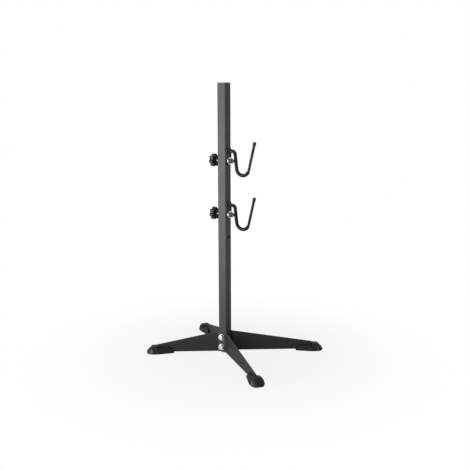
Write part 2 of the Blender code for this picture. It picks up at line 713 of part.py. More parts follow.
def make_stand():
    stand = add_empty("stand", None, (POST_X, 0, 0))
    make_post(stand)
    make_cap(stand)
    make_leg_plate("leg_plate_near", -1, stand)
    make_leg_plate("leg_plate_far", 1, stand)
    make_boot("boot_near_long", LONG_REACH, -1, -LEG_ANGLE, stand)
    make_boot("boot_near_short", SHORT_REACH, -1, math.pi + LEG_ANGLE, stand)
    make_boot("boot_far_long", LONG_REACH, 1, LEG_ANGLE, stand)
    make_boot("boot_far_short", SHORT_REACH, 1, math.pi - LEG_ANGLE, stand)
    for level, height in leg_bolt_heights():
        make_leg_bolt(level, height, stand)
    for level, height in HOOK_HEIGHTS.items():
        pivot = add_empty(f"{level}_clamp_axis", stand, (0, 0, height))
        make_hook(f"{level}_hook", pivot)
        make_sleeve(f"{level}_hook_sleeve", pivot)
        make_tip_cap(f"{level}_hook_tip_cap", pivot)
        make_clamp_fasteners(level, pivot)
        make_knob_washer(level, pivot)
        make_knob(level, pivot)


make_stand()
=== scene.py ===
# %% [markdown]
# # A floor bike stand, from plain solids to finished pieces
#
# The stand is a square steel post, bolted between two bent sheet plates with rubber boots. Two rod hooks
# are clamped through the post by star knobs, and hold a bicycle by its seat stay and its chain stay.
#
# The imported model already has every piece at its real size, and the joints between them. It is kept here as
# a fixed frame, which says where each piece is and what it moves with. Its facets are coarse and its
# colours are plain, so each piece is made again with the fine surface of the real one, and then gets its
# finish.

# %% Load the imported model
import json
import math

import bmesh
import bpy
from mathutils import Matrix, Vector


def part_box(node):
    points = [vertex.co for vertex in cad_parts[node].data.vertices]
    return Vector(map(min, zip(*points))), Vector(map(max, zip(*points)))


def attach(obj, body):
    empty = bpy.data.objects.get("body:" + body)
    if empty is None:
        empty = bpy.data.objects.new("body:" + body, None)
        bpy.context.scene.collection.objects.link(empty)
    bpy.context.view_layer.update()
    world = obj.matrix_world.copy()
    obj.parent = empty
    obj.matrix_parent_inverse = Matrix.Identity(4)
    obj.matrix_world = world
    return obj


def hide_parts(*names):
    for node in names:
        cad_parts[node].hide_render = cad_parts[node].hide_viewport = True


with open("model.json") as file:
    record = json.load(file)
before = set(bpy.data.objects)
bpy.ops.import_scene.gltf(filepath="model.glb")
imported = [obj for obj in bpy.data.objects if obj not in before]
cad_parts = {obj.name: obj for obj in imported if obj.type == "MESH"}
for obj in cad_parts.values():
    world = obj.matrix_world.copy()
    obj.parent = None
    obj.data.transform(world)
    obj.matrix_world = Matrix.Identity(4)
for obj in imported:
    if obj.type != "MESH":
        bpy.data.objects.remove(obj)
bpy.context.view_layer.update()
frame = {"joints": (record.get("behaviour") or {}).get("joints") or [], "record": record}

BODIES = frame["record"]["behaviour"]["bodies"]
BODY_OF = {node: body for body, nodes in BODIES.items() for node in nodes}

# %% [markdown]
# ## The camera
#
# The photograph was taken with a normal lens, from about the height of the post's top, looking 13 degrees
# down. The stand's post, legs and feet in it fix where the camera stood, how far it was turned and tilted,
# and how long its lens was. They also put the lens's axis off the middle of the picture, as a crop does.
# Blender calls that offset the shift.

# %% Camera
PICTURE = 470
FOCAL_PIXELS = 713.07
AXIS_PIXEL = (241.0, 261.4)
CAMERA_PLACE = (1.0453, -1.5243, 0.6902)
CAMERA_HEADING = math.radians(33.665)
CAMERA_PITCH = math.radians(13.195)

lens = bpy.data.cameras.new("camera")
lens.lens = lens.sensor_width * FOCAL_PIXELS / PICTURE
lens.shift_x = (PICTURE / 2 - AXIS_PIXEL[0]) / PICTURE
lens.shift_y = (AXIS_PIXEL[1] - PICTURE / 2) / PICTURE
camera = bpy.data.objects.new("camera", lens)
camera.location = CAMERA_PLACE
camera.rotation_euler = (math.pi / 2 - CAMERA_PITCH, 0, CAMERA_HEADING)
bpy.context.scene.collection.objects.link(camera)
bpy.context.scene.camera = camera
print(f"lens {lens.lens:.1f} mm, shift {lens.shift_x:.4f}, {lens.shift_y:.4f}")

# %% [markdown]
# ## Shader arithmetic
#
# A procedural finish is a sum: a broad drift, plus a fine grain, less a worn edge. Wiring Math nodes by
# hand hides that sum, so a small class wraps a socket and lets Python's own operators add the nodes. Every
# other kind of node comes from one method, which sets the node up first and then feeds its sockets.

# %% Values
class Value:
    """What one socket gives. Arithmetic on it adds Math nodes to its graph."""

    def __init__(self, graph, socket):
        self.graph = graph
        self.socket = socket

    def __add__(self, other):
        return self.graph.maths("ADD", self, other)

    def __sub__(self, other):
        return self.graph.maths("SUBTRACT", self, other)

    def __rsub__(self, other):
        return self.graph.maths("SUBTRACT", other, self)

    def __mul__(self, other):
        return self.graph.maths("MULTIPLY", self, other)

    def __pow__(self, other):
        return self.graph.maths("POWER", self, other)

    __radd__ = __add__
    __rmul__ = __mul__


# %% Graphs
class Graph:
    """The node tree of a material or of the world."""

    def __init__(self, owner):
        owner.use_nodes = True
        self.owner = owner
        self.tree = owner.node_tree

    def add(self, kind, settings=None, inputs=None, output=0):
        """Adds a node with its settings, feeds its sockets numbers or values, and gives one output."""
        node = self.tree.nodes.new("ShaderNode" + kind)
        for name, setting in (settings or {}).items():
            setattr(node, name, setting)
        self.feed(node, inputs or {})
        return Value(self, node.outputs[output])

    def feed(self, node, inputs):
        for name, source in inputs.items():
            if isinstance(source, Value):
                self.tree.links.new(source.socket, node.inputs[name])
            else:
                node.inputs[name].default_value = source

    def maths(self, operation, first, second=0.0):
        return self.add("Math", {"operation": operation}, {0: first, 1: second})

    def step_up(self, value, low, high):
        """0 below low, 1 above high, and a smooth rise between."""
        settings = {"interpolation_type": "SMOOTHSTEP"}
        return self.add("MapRange", settings, {"Value": value, "From Min": low, "From Max": high})

    def mix(self, share, first, second):
        """A colour from first, at share 0, to second, at share 1."""
        return self.add("Mix", {"data_type": "RGBA"}, {0: share, 6: first, 7: second}, output=2)

    def place(self):
        """Where a point is on its own piece, so that the pattern moves with the piece."""
        return self.add("TexCoord", output="Object")

    def noise(self, size, detail=2.0, stretch=(1.0, 1.0, 1.0)):
        """Soft noise from 0 to 1, in lumps about size metres across and longer along a stretched axis."""
        scale = Vector([1 / (size * longer) for longer in stretch])
        point = self.add("VectorMath", {"operation": "MULTIPLY"}, {0: self.place(), 1: scale})
        return self.add("TexNoise", {}, {"Vector": point, "Scale": 1.0, "Detail": detail})

    def ridge(self):
        """1 on the rounded edges of a piece, -1 in its grooves and 0 on its flats."""
        return self.add("Attribute", {"attribute_name": "ridge"}, output="Fac")

    def axis(self, name):
        return self.add("SeparateXYZ", {}, {"Vector": self.place()}, output=name)

    def facing(self, name):
        """How far the surface of the piece faces along one of its own axes, from -1 to 1."""
        normal = self.add("TexCoord", output="Normal")
        return self.add("SeparateXYZ", {}, {"Vector": normal}, output=name)


# %% Greys, and feeding a shader
MM = 0.001
MICRON = 0.000001


def grey(level, warmth=0.0):
    return (level * (1 + warmth), level, level * (1 - warmth), 1.0)


def finish(graph, colour, roughness, height, reflection=0.5, metallic=0.0):
    """Feeds a material's shader. Height is in metres, and reflection and metallic are the same all over."""
    bump = graph.add("Bump", {}, {"Height": height, "Distance": 1.0, "Strength": 1.0})
    varying = {"Base Color": colour, "Roughness": roughness, "Normal": bump}
    constants = {"Specular IOR Level": reflection, "Metallic": metallic}
    graph.feed(graph.tree.nodes["Principled BSDF"], {**varying, **constants})
    print(f"{graph.owner.name}: {len(graph.tree.nodes)} nodes")
    return graph.owner


# %% [markdown]
# ## Satin black powder coat
#
# The post, the plates and the hooks are steel, sprayed with black powder and baked. The powder melts into a
# satin film with a slight orange peel about 2 mm across, and a finer grain of about 0.25 mm. The film draws
# back from edges, where it is thin and soon rubbed shiny, and dust settles on what faces up. A plain black
# would look like a hole in the picture, because all that shows a black surface is how its gloss varies.
#
# The film is not equally glossy everywhere. The thin rod heats fastest in the oven, so that the film flows
# out on it, and on the hooks' small tabs, in the corner by the weld, the powder lands thin and dry.

# %% Powder coat
PAINT_GREYS = (grey(0.0048), grey(0.0072, 0.02))
RUBBED_GREY = grey(0.070)
SETTLED_DUST_GREY = grey(0.110, 0.05)
DRIFT_SIZE = 60 * MM
RUBBED_SIZE = 5 * MM
DUST_SIZE = 3 * MM
PEEL_SIZE = 2.2 * MM
PEEL_HEIGHT = 9 * MICRON
POWDER_SIZE = 0.25 * MM
POWDER_HEIGHT = 2 * MICRON


def powder_coat(name, roughness, reflection):
    graph = Graph(bpy.data.materials.new(name))
    drift = graph.noise(DRIFT_SIZE)
    peel = graph.noise(PEEL_SIZE, detail=1.0)
    grain = graph.noise(POWDER_SIZE)
    rubbed = graph.step_up(graph.ridge() + 0.7 * graph.noise(RUBBED_SIZE), low=0.95, high=1.45)
    dust = graph.step_up(graph.facing("Z") + 0.3 * graph.noise(DUST_SIZE), low=0.95, high=1.15)
    colour = graph.mix(drift, *PAINT_GREYS)
    colour = graph.mix(0.5 * rubbed, colour, RUBBED_GREY)
    colour = graph.mix(0.25 * dust, colour, SETTLED_DUST_GREY)
    varied = roughness + 0.08 * drift + 0.04 * grain - 0.08 * rubbed + 0.12 * dust
    height = PEEL_HEIGHT * peel + POWDER_HEIGHT * grain
    return finish(graph, colour, varied, height, reflection)


# %% [markdown]
# ## Rubber and moulded plastics
#
# The boots are moulded rubber with little gloss: the mould's sand-blasted wall leaves a grain of about 0.35
# mm, and the floor leaves its dust low on the sides. The widest corner of the toe is painted lighter on its
# steep sides, a painted highlight. The cap, the knobs and the rod's tips are moulded plastic with a
# spark-eroded grain. They share a recipe, in which the grain, the gloss and the worn edges have their own
# measures.

# %% Moulded black
FLOW_SIZE = 14 * MM
FLOW_HEIGHT = 6 * MICRON
HANDLED_SIZE = 4 * MM


def moulded_black(name, black, wear_and_painted_glint, roughness, reflection, grain_size, grain_height):
    """A moulded finish: grain from the mould's wall, slow flow marks and edges polished by handling."""
    graph = Graph(bpy.data.materials.new(name))
    flow = graph.noise(FLOW_SIZE, detail=3.0, stretch=(2.0, 1.0, 1.0))
    grain = graph.noise(grain_size, detail=3.0)
    handled = graph.step_up(graph.ridge() + 0.6 * graph.noise(HANDLED_SIZE), low=0.8, high=1.4)
    colour = graph.mix(flow, grey(0.85 * black), grey(1.2 * black, 0.02))
    colour = graph.mix(handled, colour, grey(wear_and_painted_glint, 0.03))
    varied = roughness - 0.06 + 0.08 * flow + 0.06 * grain - 0.08 * handled
    height = grain_height * grain + FLOW_HEIGHT * flow
    return finish(graph, colour, varied, height, reflection)


# %% Boot rubber
RUBBER_GREYS = (grey(0.004), grey(0.007, 0.02))
RUBBER_GRAIN_SIZE = 0.35 * MM
RUBBER_GRAIN_HEIGHT = 14 * MICRON
RUBBER_FLOW_SIZE = 18 * MM
RUBBER_FLOW_HEIGHT = 10 * MICRON
SCUFF_SIZE = 1.6 * MM
SCUFF_DEPTH = 10 * MICRON
SCUFF_GREY = grey(0.080)
FLOOR_DUST_SIZE = 5 * MM
FLOOR_DUST_HEIGHT = 7 * MM
FLOOR_DUST_GREY = grey(0.060, 0.08)
PAINTED_GLINT_SIZE = 4 * MM
PAINTED_GLINT_GREY = grey(0.16)


def boot_rubber():
    """The boots' own finish: dust and scuffs low on the sides, and a painted highlight on the toe's widest
    corner.
    """
    graph = Graph(bpy.data.materials.new("boot_rubber"))
    flow = graph.noise(RUBBER_FLOW_SIZE, detail=3.0, stretch=(2.5, 1.0, 1.0))
    grain = graph.noise(RUBBER_GRAIN_SIZE, detail=3.0)
    streaks = graph.noise(SCUFF_SIZE, detail=4.0, stretch=(7.0, 1.0, 1.0))
    scuff = graph.step_up(streaks, low=0.58, high=0.72)
    low = 1 - graph.step_up(graph.axis("Z"), low=0.5 * MM, high=FLOOR_DUST_HEIGHT)
    dusty = low * graph.step_up(graph.noise(FLOOR_DUST_SIZE, detail=4.0), low=0.35, high=0.75)
    colour = graph.mix(flow, *RUBBER_GREYS)
    colour = graph.mix(0.15 * dusty, colour, FLOOR_DUST_GREY)
    colour = graph.mix(0.15 * scuff * low, colour, SCUFF_GREY)
    # Painted highlight: the toe's widest corner, marked as a ridge, is painted lighter on its steep sides.
    wear_and_painted_glint = graph.step_up(graph.ridge() + 0.2 * graph.noise(PAINTED_GLINT_SIZE), low=0.92, high=1.08)
    steep = graph.step_up(0.6 - graph.facing("Z"), low=0.0, high=0.3)
    colour = graph.mix(0.6 * wear_and_painted_glint * steep, colour, PAINTED_GLINT_GREY)
    roughness = 0.46 + 0.10 * flow + 0.08 * grain + 0.10 * dusty
    height = RUBBER_GRAIN_HEIGHT * grain + RUBBER_FLOW_HEIGHT * flow - SCUFF_DEPTH * scuff * low
    return finish(graph, colour, roughness, height, reflection=0.20)


# %% [markdown]
# ## Glossy vinyl
#
# The sleeve that guards the frame is a drawn vinyl tube, pushed over the rod wet. Its skin is the smoothest
# of all the finishes, with long shallow ripples where it stretches round a bend. The ripples are what
# breaks a lamp's reflection into streaks. Yet the photograph shows the sleeve as the blackest piece, so the
# skin mirrors sharply but faintly: it is smooth, with a low reflective level.

# %% Vinyl
VINYL_GREYS = (grey(0.004), grey(0.008, 0.02))
RIPPLE_SIZE = 7 * MM
RIPPLE_HEIGHT = 45 * MICRON
SKIN_SIZE = 0.9 * MM
SKIN_HEIGHT = 3 * MICRON
SMEAR_SIZE = 9 * MM


def vinyl():
    graph = Graph(bpy.data.materials.new("glossy_black_vinyl"))
    ripple = graph.noise(RIPPLE_SIZE, detail=1.0)
    fine = graph.noise(SKIN_SIZE, detail=2.0)
    smear = graph.step_up(graph.noise(SMEAR_SIZE, detail=4.0), low=0.45, high=0.7)
    colour = graph.mix(smear, *VINYL_GREYS)
    roughness = 0.14 + 0.10 * smear + 0.04 * fine
    height = RIPPLE_HEIGHT * ripple + SKIN_HEIGHT * fine
    return finish(graph, colour, roughness, height, reflection=0.06)


# %% [markdown]
# ## Zinc plate
#
# The bolts, nuts, washers and studs are steel with bright zinc plate. It is a metal, so its colour is in
# its reflections: a cold grey, here and there a little yellow or blue from the passivation. The lathe and
# the press leave fine rings about the axis. Each of these pieces is made round its own Z axis, so that one
# material can find the distance from that axis and draw the rings on all of them. The thread's roots are
# darker and rougher, and the sides that face across the axis, such as a hexagon's walls, are darkened as
# painted shade. The legs' washers are bright from the barrel. The clamps' own are rubbed matt where they
# turn and get a lighter plate, a painted highlight, and the nuts, studs, inserts and knob washers get a much
# darker one, painted shade. So the recipe takes a brightness, a roughness and a share of painted wall shade.

# %% Zinc plate
RING_PITCH = 0.16 * MM
RING_HEIGHT = 1.2 * MICRON
ZINC_GRAIN_SIZE = 0.3 * MM
ZINC_GRAIN_HEIGHT = 3 * MICRON
PATCH_SIZE = 6 * MM
COLD_TINT = Vector((0.94, 0.95, 1.0))
WARM_TINT = Vector((1.06, 1.05, 0.98))


def zinc_plate(name, brightness, roughness, painted_wall_shade=0.0):
    graph = Graph(bpy.data.materials.new(name))
    x, y, z = graph.axis("X"), graph.axis("Y"), graph.axis("Z")
    radius = (x * x + y * y) ** 0.5
    rings = graph.maths("SINE", (radius + z) * (2 * math.pi / RING_PITCH))
    patch = graph.noise(PATCH_SIZE, detail=3.0)
    grain = graph.noise(ZINC_GRAIN_SIZE, detail=3.0)
    # The thread's roots are darker and rougher.
    groove = graph.step_up(0.3 * grain - graph.ridge(), low=0.3, high=1.1)
    # Painted shade: the sides that face across the piece's axis, such as a hexagon's walls, are darkened.
    wall = 1 - graph.step_up(graph.maths("ABSOLUTE", graph.facing("Z")), low=0.3, high=0.8)
    cold, warm = [(*(brightness * tint), 1.0) for tint in (COLD_TINT, WARM_TINT)]
    colour = graph.mix(patch, cold, warm)
    colour = graph.mix(painted_wall_shade * wall, colour, grey(0.10 * brightness))
    colour = graph.mix(0.8 * groove, colour, grey(0.15 * brightness, 0.05))
    varied = roughness - 0.06 + 0.12 * patch + 0.06 * grain + 0.30 * groove + 0.15 * painted_wall_shade * wall
    height = RING_HEIGHT * rings + ZINC_GRAIN_HEIGHT * grain
    return finish(graph, colour, varied, height, metallic=1.0)


# %% The finishes, by the record's slots
FINISHES = {
    "satin_black_paint": powder_coat("satin_black_powder_coat", roughness=0.45, reflection=0.40),
    "boot_rubber": boot_rubber(),
    "cap_plastic": moulded_black("cap_plastic", black=0.010, wear_and_painted_glint=0.040, roughness=0.40, reflection=0.40,
                                 grain_size=0.4 * MM, grain_height=5 * MICRON),
    "knob_plastic": moulded_black("knob_plastic", black=0.009, wear_and_painted_glint=0.030, roughness=0.35, reflection=0.25,
                                  grain_size=0.3 * MM, grain_height=9 * MICRON),
    "tip_plastic": moulded_black("tip_plastic", black=0.006, wear_and_painted_glint=0.015, roughness=0.36, reflection=0.15,
                                 grain_size=0.3 * MM, grain_height=5 * MICRON),
    "sleeve_vinyl": vinyl(),
    "zinc_plated_steel": zinc_plate("bright_zinc_plate", brightness=0.66, roughness=0.26),
}
ROD_PAINT = powder_coat("powder_coat_on_rod", roughness=0.24, reflection=0.15)
TAB_PAINT = powder_coat("powder_coat_on_tab", roughness=0.62, reflection=0.40)
# The bolts' hexagon walls carry the most painted shade.
BOLT_ZINC = zinc_plate("zinc_plate_on_bolts", brightness=0.66, roughness=0.26, painted_wall_shade=0.8)
# The clamp washers' plate is rubbed matt and painted lighter, a painted highlight.
PAINTED_HIGHLIGHT_ZINC = zinc_plate("zinc_plate_on_clamp_painted_highlight", brightness=0.90, roughness=0.42)
# A much darker copy of the plate, as painted shade, for the nuts, studs, inserts and knob washers.
PAINTED_SHADE_ZINC = zinc_plate("zinc_plate_darkened_as_painted_shade", brightness=0.20, roughness=0.32, painted_wall_shade=0.5)

# %% [markdown]
# ## Outlines and skins
#
# Almost no real edge is sharp: sheet is deburred, moulds are cut with round tools, and paint rounds what is
# left. That thin round edge catches the light, so every outline here goes through one function that swaps
# each corner for an arc. The same function marks the middle of each arc, and the finishes read the mark as
# wear. A skin is then a row of outlines joined by faces. It is always a closed surface, as the real piece
# is.

# %% Eased corners
def eased(corners, steps=4):
    """Swaps each corner (x, y, radius) for an arc. A point is (x, y, ridge): 1 in the middle of an arc."""
    points = []
    for index, (x, y, radius) in enumerate(corners):
        if radius == 0:
            points.append((x, y, 0.0))
            continue
        corner = Vector((x, y))
        before = (Vector(corners[index - 1][:2]) - corner).normalized()
        after = (Vector(corners[(index + 1) % len(corners)][:2]) - corner).normalized()
        half = before.angle(after) / 2
        centre = corner + (before + after).normalized() * (radius / math.sin(half))
        first = corner + before * (radius / math.tan(half)) - centre
        last = corner + after * (radius / math.tan(half)) - centre
        turn = math.atan2(first.cross(last), first.dot(last))
        for step in range(steps + 1):
            point = centre + Matrix.Rotation(turn * step / steps, 2) @ first
            points.append((point.x, point.y, math.sin(math.pi * step / steps)))
    return points


# %% Skins
SHARP = math.radians(40)


def as_piece(name, bm, matrix=None):
    """Makes an object of a bmesh, shaded smooth over its arcs and with its flats kept flat."""
    bmesh.ops.recalc_face_normals(bm, faces=bm.faces)
    mesh = bpy.data.meshes.new(name)
    bm.to_mesh(mesh)
    bm.free()
    mesh.shade_smooth()
    mesh.set_sharp_from_angle(angle=SHARP)
    piece = bpy.data.objects.new(name, mesh)
    bpy.context.scene.collection.objects.link(piece)
    piece.matrix_world = matrix or Matrix()
    return piece


def skin(name, rings, closed=False, matrix=None):
    """A closed surface through rings of points (x, y, z, ridge). A ring of one point is a tip."""
    bm = bmesh.new()
    ridge = bm.verts.layers.float.new("ridge")
    made = []
    for ring in rings:
        made.append([bm.verts.new(point[:3]) for point in ring])
        for vert, point in zip(made[-1], ring):
            vert[ridge] = point[3]
    for ring, following in zip(made, made[1:] + made[:1] if closed else made[1:]):
        count = max(len(ring), len(following))
        for index in range(count):
            after = (index + 1) % count
            corners = [ring[index % len(ring)], ring[after % len(ring)]]
            corners += [following[after % len(following)], following[index % len(following)]]
            bm.faces.new(list(dict.fromkeys(corners)))
    for ring in () if closed else (made[0], made[-1]):
        if len(ring) > 2:
            bm.faces.new(ring)
    return as_piece(name, bm, matrix)


# %% [markdown]
# ## Turned and bent pieces
#
# A washer, a stud and a sleeve on a bent rod are made alike: a profile goes round a centre line. For the
# washer the line is straight, and for the sleeve it is the rod's own, with its runs and bends. A profile's
# point may also depend on the angle round the line, which gives a hexagon its flats, a knob its lobes and a
# screw its thread, all from the same function.

# %% Bent bars
class Bar:
    """A centre line in a plane, made as a bar is bent: runs and bends, each from the end of the last."""

    def __init__(self, start, heading=0.0):
        self.parts = []
        self.length = 0.0
        self.start = Vector(start)
        self.heading = heading

    def run(self, length):
        return self.part(length, 0.0)

    def bend(self, radius, angle):
        return self.part(radius * abs(angle), math.copysign(1 / radius, angle))

    def part(self, length, curvature):
        start, heading = self.at(self.length) if self.parts else (self.start, self.heading)
        self.parts.append((self.length, start, heading, curvature))
        self.length += length
        return self

    def at(self, distance):
        """The point at a distance along the bar, and the heading there."""
        begun = [part for part in self.parts if part[0] <= distance]
        reached, start, heading, curvature = (begun or self.parts[:1])[-1]
        along = distance - reached
        if curvature == 0:
            return start + along * Vector((math.cos(heading), math.sin(heading))), heading
        turned_to = heading + curvature * along
        across = math.sin(turned_to) - math.sin(heading), math.cos(heading) - math.cos(turned_to)
        return start + Vector(across) / curvature, turned_to


# %% Turning
def turned(name, profile, sides, bar=None, closed=False, matrix=None):
    """Takes a profile round the Z axis, or round a bar in the XZ plane.

    A point of the profile is (radius, distance, ridge), or a function of the angle that gives one."""
    rings = []
    for entry in profile:
        ring = []
        for side in range(sides):
            angle = 2 * math.pi * side / sides
            radius, distance, ridge = entry(angle) if callable(entry) else entry
            centre, across = Vector((0, 0, distance)), Vector((1, 0, 0))
            if bar:
                point, heading = bar.at(distance)
                centre = Vector((point.x, 0, point.y))
                across = Vector((-math.sin(heading), 0, math.cos(heading)))
            place = centre + radius * (math.cos(angle) * across + math.sin(angle) * Vector((0, 1, 0)))
            ring.append((*place, ridge))
            if radius == 0:
                break
        rings.append(ring)
    return skin(name, rings, closed, matrix)


def evenly(start, end, step):
    """Distances from start to end, no more than a step apart."""
    count = max(1, math.ceil(abs(end - start) / step))
    return [start + (end - start) * index / count for index in range(count + 1)]


# %% Cutting and dressing
DRILL_SIDES = 48


def cut(piece, *cutters):
    """Takes the cutters away from a piece, with its mesh as the result, and removes them."""
    for cutter in cutters:
        modifier = piece.modifiers.new("cut", "BOOLEAN")
        modifier.operation = "DIFFERENCE"
        modifier.object = cutter
    graph = bpy.context.evaluated_depsgraph_get()
    mesh = bpy.data.meshes.new_from_object(piece.evaluated_get(graph))
    piece.modifiers.clear()
    piece.data = mesh
    mesh.set_sharp_from_angle(angle=SHARP)
    for cutter in cutters:
        bpy.data.objects.remove(cutter)
    return piece


def drill(radius, half, easing, matrix):
    """A drill through a wall that ends half away on each side. It eases the hole's two rims."""
    flare = radius + 2 * easing
    out = half + easing
    profile = [(0, -out, 0), (flare, -out, 0), (radius, easing - half, 0)]
    profile += [(radius, half - easing, 0), (flare, out, 0), (0, out, 0)]
    return turned("drill", profile, DRILL_SIDES, matrix=matrix)


def dress(piece, node, slot, material=None):
    """Gives a piece its finish, hides the node it stands for and lets it move with that node's body."""
    piece.data.materials.clear()
    piece.data.materials.append(material or FINISHES[slot])
    flats = piece.modifiers.new("flats stay flat", "WEIGHTED_NORMAL")
    flats.keep_sharp = True
    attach(piece, BODY_OF[node])
    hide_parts(node)
    print(f"{piece.name}: {len(piece.data.polygons)} faces on {BODY_OF[node]}")


def seat(node, along, up):
    """The matrix that stands a piece in its node's place with +Z along its axis, and the node's length."""
    low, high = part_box(node)
    along, up = Vector(along), Vector(up)
    length = abs((high - low).dot(along))
    turn = Matrix((up.cross(along), up, along)).transposed().to_4x4()
    return Matrix.Translation((low + high) / 2 - along * length / 2) @ turn, length


# %% [markdown]
# ## The post
#
# The post is roll-formed square tube, 25 mm across with a 1.5 mm wall. Its four corners are rolled to about
# 2 mm. It is cross-drilled: a pair of holes for each leg bolt and each clamp, and one spare pair below the
# lower clamp. The tube is one closed skin, up its outer wall, over the rim, and down its inner wall. The
# holes come from drills with flared ends, because the paint rounds the rims.

# %% Post
post_low, post_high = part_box("post_tube")
POST_X = (post_low.x + post_high.x) / 2
POST_HALF = (post_high.x - post_low.x) / 2
POST_CORNER = 2 * MM
POST_WALL = 1.5 * MM
RIM_EASING = 0.25 * MM
GAP = 0.3 * MM
HOLE_RADIUS = 4.3 * MM
SPARE_HOLE_RADIUS = 4.25 * MM
SPARE_HOLE_HEIGHT = 322.5 * MM
ALONG_X = Matrix.Rotation(math.pi / 2, 4, "Y")
ALONG_MINUS_X = Matrix.Rotation(-math.pi / 2, 4, "Y")
ALONG_Y = Matrix.Rotation(-math.pi / 2, 4, "X")
HINGES = [joint for joint in frame["joints"] if "pos_m" in joint]
HOOK_HEIGHTS = {hinge["name"].split("_")[0]: hinge["pos_m"][2] for hinge in HINGES}


def square(half, corner, height, ridge):
    """A level square outline with round corners, about the post's axis."""
    sides = [(half, half), (-half, half), (-half, -half), (half, -half)]
    outline = eased([(x, y, corner) for x, y in sides], steps=6)
    return [(x + POST_X, y, height, max(ridge, at_corner)) for x, y, at_corner in outline]


def bolt_drills(y, half):
    """Drills for the two leg bolts, through a wall whose middle is at y and which ends half away."""
    drills = []
    for node in ("leg_bolt_upper", "leg_bolt_lower"):
        height = sum(corner.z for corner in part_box(node)) / 2
        place = Matrix.Translation((POST_X, y, height)) @ ALONG_Y
        drills.append(drill(HOLE_RADIUS, half, RIM_EASING, place))
    return drills


def make_post():
    low, high = post_low.z, post_high.z
    wall = eased([(0, low, RIM_EASING), (0, high, RIM_EASING), (POST_WALL, high, RIM_EASING),
                  (POST_WALL, low, RIM_EASING)])
    rings = []
    for inset, height, ridge in wall:
        corner = max(POST_CORNER - inset, POST_CORNER / 4)
        rings.append(square(POST_HALF - inset, corner, height, ridge))
    post = skin("post_tube_painted", rings, closed=True)
    drills = bolt_drills(0, POST_HALF)
    clamps = [(height, HOLE_RADIUS) for height in HOOK_HEIGHTS.values()]
    for height, radius in clamps + [(SPARE_HOLE_HEIGHT, SPARE_HOLE_RADIUS)]:
        place = Matrix.Translation((POST_X, 0, height)) @ ALONG_X
        drills.append(drill(radius, POST_HALF, RIM_EASING, place))
    dress(cut(post, *drills), "post_tube", "satin_black_paint")


make_post()

# %% [markdown]
# ## The cap
#
# A moulded cap closes the tube. Its lip is as wide as the tube and 3.5 mm high, with a soft edge and a
# slightly crowned top, and its hollow plug grips the tube's inside with two thin fins. It is the same kind
# of skin as the post: square outlines, one above another, from the plug's hollow round to the middle of the
# crown.

# %% Cap
cap_low, cap_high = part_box("post_cap")
CAP_SEAT = post_high.z + GAP
CAP_LIP = 3.5 * MM
CAP_EASING = 0.9 * MM
CROWN_SHARES = (0.85, 0.7, 0.55, 0.4, 0.25, 0.1)
PLUG_WALL = 2 * MM
FIN = 1.2 * MM
FIN_REACH = 0.8 * MM
FIN_COUNT = 2
PLUG_EASING = 0.15 * MM


def make_cap():
    reach = POST_HALF - POST_WALL - GAP
    core = reach - FIN_REACH
    hollow = core - PLUG_WALL
    depth = CAP_SEAT - cap_low.z
    corners = [(hollow, -CAP_LIP / 4, 0), (hollow, -depth, PLUG_EASING), (core, -depth, PLUG_EASING)]
    for fin in range(FIN_COUNT):
        low = depth * (fin + 1) / (FIN_COUNT + 1) - depth - FIN / 2
        corners += [(core, low, 0), (reach, low, PLUG_EASING), (reach, low + FIN, PLUG_EASING)]
        corners += [(core, low + FIN, 0)]
    corners += [(core, 0, 0), (POST_HALF, 0, PLUG_EASING), (POST_HALF, CAP_LIP, CAP_EASING)]
    crown = cap_high.z - CAP_SEAT - CAP_LIP
    for share in CROWN_SHARES:
        corners.append((POST_HALF * share, CAP_LIP + crown * (1 - share**2), 0))
    rings = []
    for half, height, ridge in eased(corners):
        corner = max(POST_CORNER - (POST_HALF - half), POST_CORNER / 4) if half > core else POST_CORNER / 4
        rings.append(square(half, min(corner, half / 2), CAP_SEAT + height, ridge))
    dress(skin("post_cap_moulded", rings), "post_cap", "cap_plastic")


make_cap()

# %% [markdown]
# ## The leg plates
#
# Each plate is one piece of 3 mm sheet: a flange on the post, and two legs that spread from it and get
# lower towards their ends. A press brake bends it, so the sheet keeps its thickness round a radius of about
# 10 mm. The section is an upright rectangle with eased corners, carried along the bent line seen from
# above.

# %% Leg plate sizes
plate_low, plate_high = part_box("leg_plate_far")
PLATE_THICKNESS = 3 * MM
PLATE_EASING = 0.5 * MM
PLATE_MIDDLE_Y = plate_low.y + PLATE_THICKNESS / 2
PLATE_HEIGHT = plate_high.z - plate_low.z
BEND_X = 13.75 * MM
BEND_RADIUS = 11.5 * MM
BEND_STEPS = 16
LEG_ANGLE = math.radians(36.2)
REACHES = {"long": 250 * MM, "short": 195 * MM}
FALLS = {"long": 0.156, "short": 0.211}
BOOT_TOE = 30 * MM
print(f"each plate is {PLATE_HEIGHT / MM:.0f} mm high at the post")


# %% Leg plates
def half_plate(leg):
    """Sections from the post outwards: a point seen from above, the heading there and the top's height."""
    tangent = BEND_RADIUS * math.tan(LEG_ANGLE / 2)
    flat = BEND_X - tangent
    bend = BEND_RADIUS * LEG_ANGLE
    run = REACHES[leg] - BOOT_TOE - tangent
    line = Bar((0, 0)).run(flat).bend(BEND_RADIUS, LEG_ANGLE).run(run)
    sections = []
    for distance in [0.0, *evenly(flat, flat + bend, bend / BEND_STEPS), flat + bend + run]:
        past = distance - flat
        # The top starts to fall gently in the bend, and falls straight from there.
        drop = tangent * (max(past, 0) / bend) ** 2 if past <= bend else past - bend + tangent
        sections.append((*line.at(distance), PLATE_HEIGHT - FALLS[leg] * drop))
    return sections


